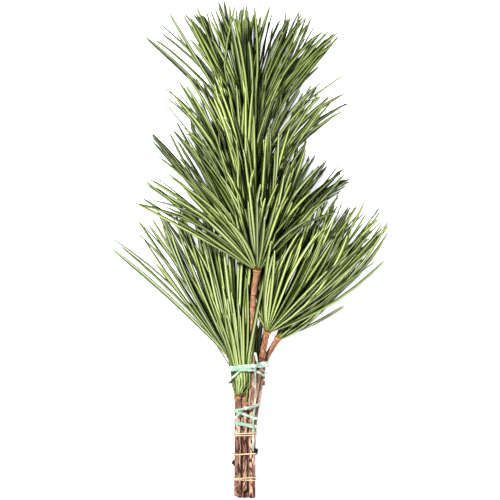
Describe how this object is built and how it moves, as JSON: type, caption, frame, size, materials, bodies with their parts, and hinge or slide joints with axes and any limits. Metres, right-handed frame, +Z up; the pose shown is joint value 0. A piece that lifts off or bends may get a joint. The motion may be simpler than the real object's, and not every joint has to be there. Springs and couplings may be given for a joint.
{
  "type": "bunch of japanese umbrella pine branches",
  "caption": "Tied bunch of cut conifer branches lying flat, with whorls of long flat needles that open like umbrella ribs, for flower arranging.",
  "frame": {"origin": "middle of the bunch's length and width, on the surface it lies on", "axes": "+Y from the cut ends towards the needle tips, +Z up out of the surface, +X to the right seen from above"},
  "size_m": [0.2225, 0.3978, 0.1176],
  "materials": {
    "bark": "matte",
    "needles": "satin",
    "tape": "gloss",
    "rubber": "satin"
  },
  "bodies": {
    "root": {"stem_crown": "bark", "stem_upper": "bark", "stem_front": "bark", "stem_right": "bark", "stem_far_right": "bark", "stem_low_left": "bark", "stem_thin": "bark", "stem_left": "bark", "needles_front": "needles", "needles_upper": "needles", "needles_right": "needles", "needles_crown": "needles", "needles_low_left": "needles", "needles_thin": "needles", "needles_left": "needles", "needles_far_right": "needles", "needles_upper_lower": "needles", "needles_crown_lower": "needles", "binding_tape": "tape", "rubber_band_upper": "rubber", "rubber_band_middle": "rubber", "rubber_band_lower": "rubber"}
  },
  "joints": []
}
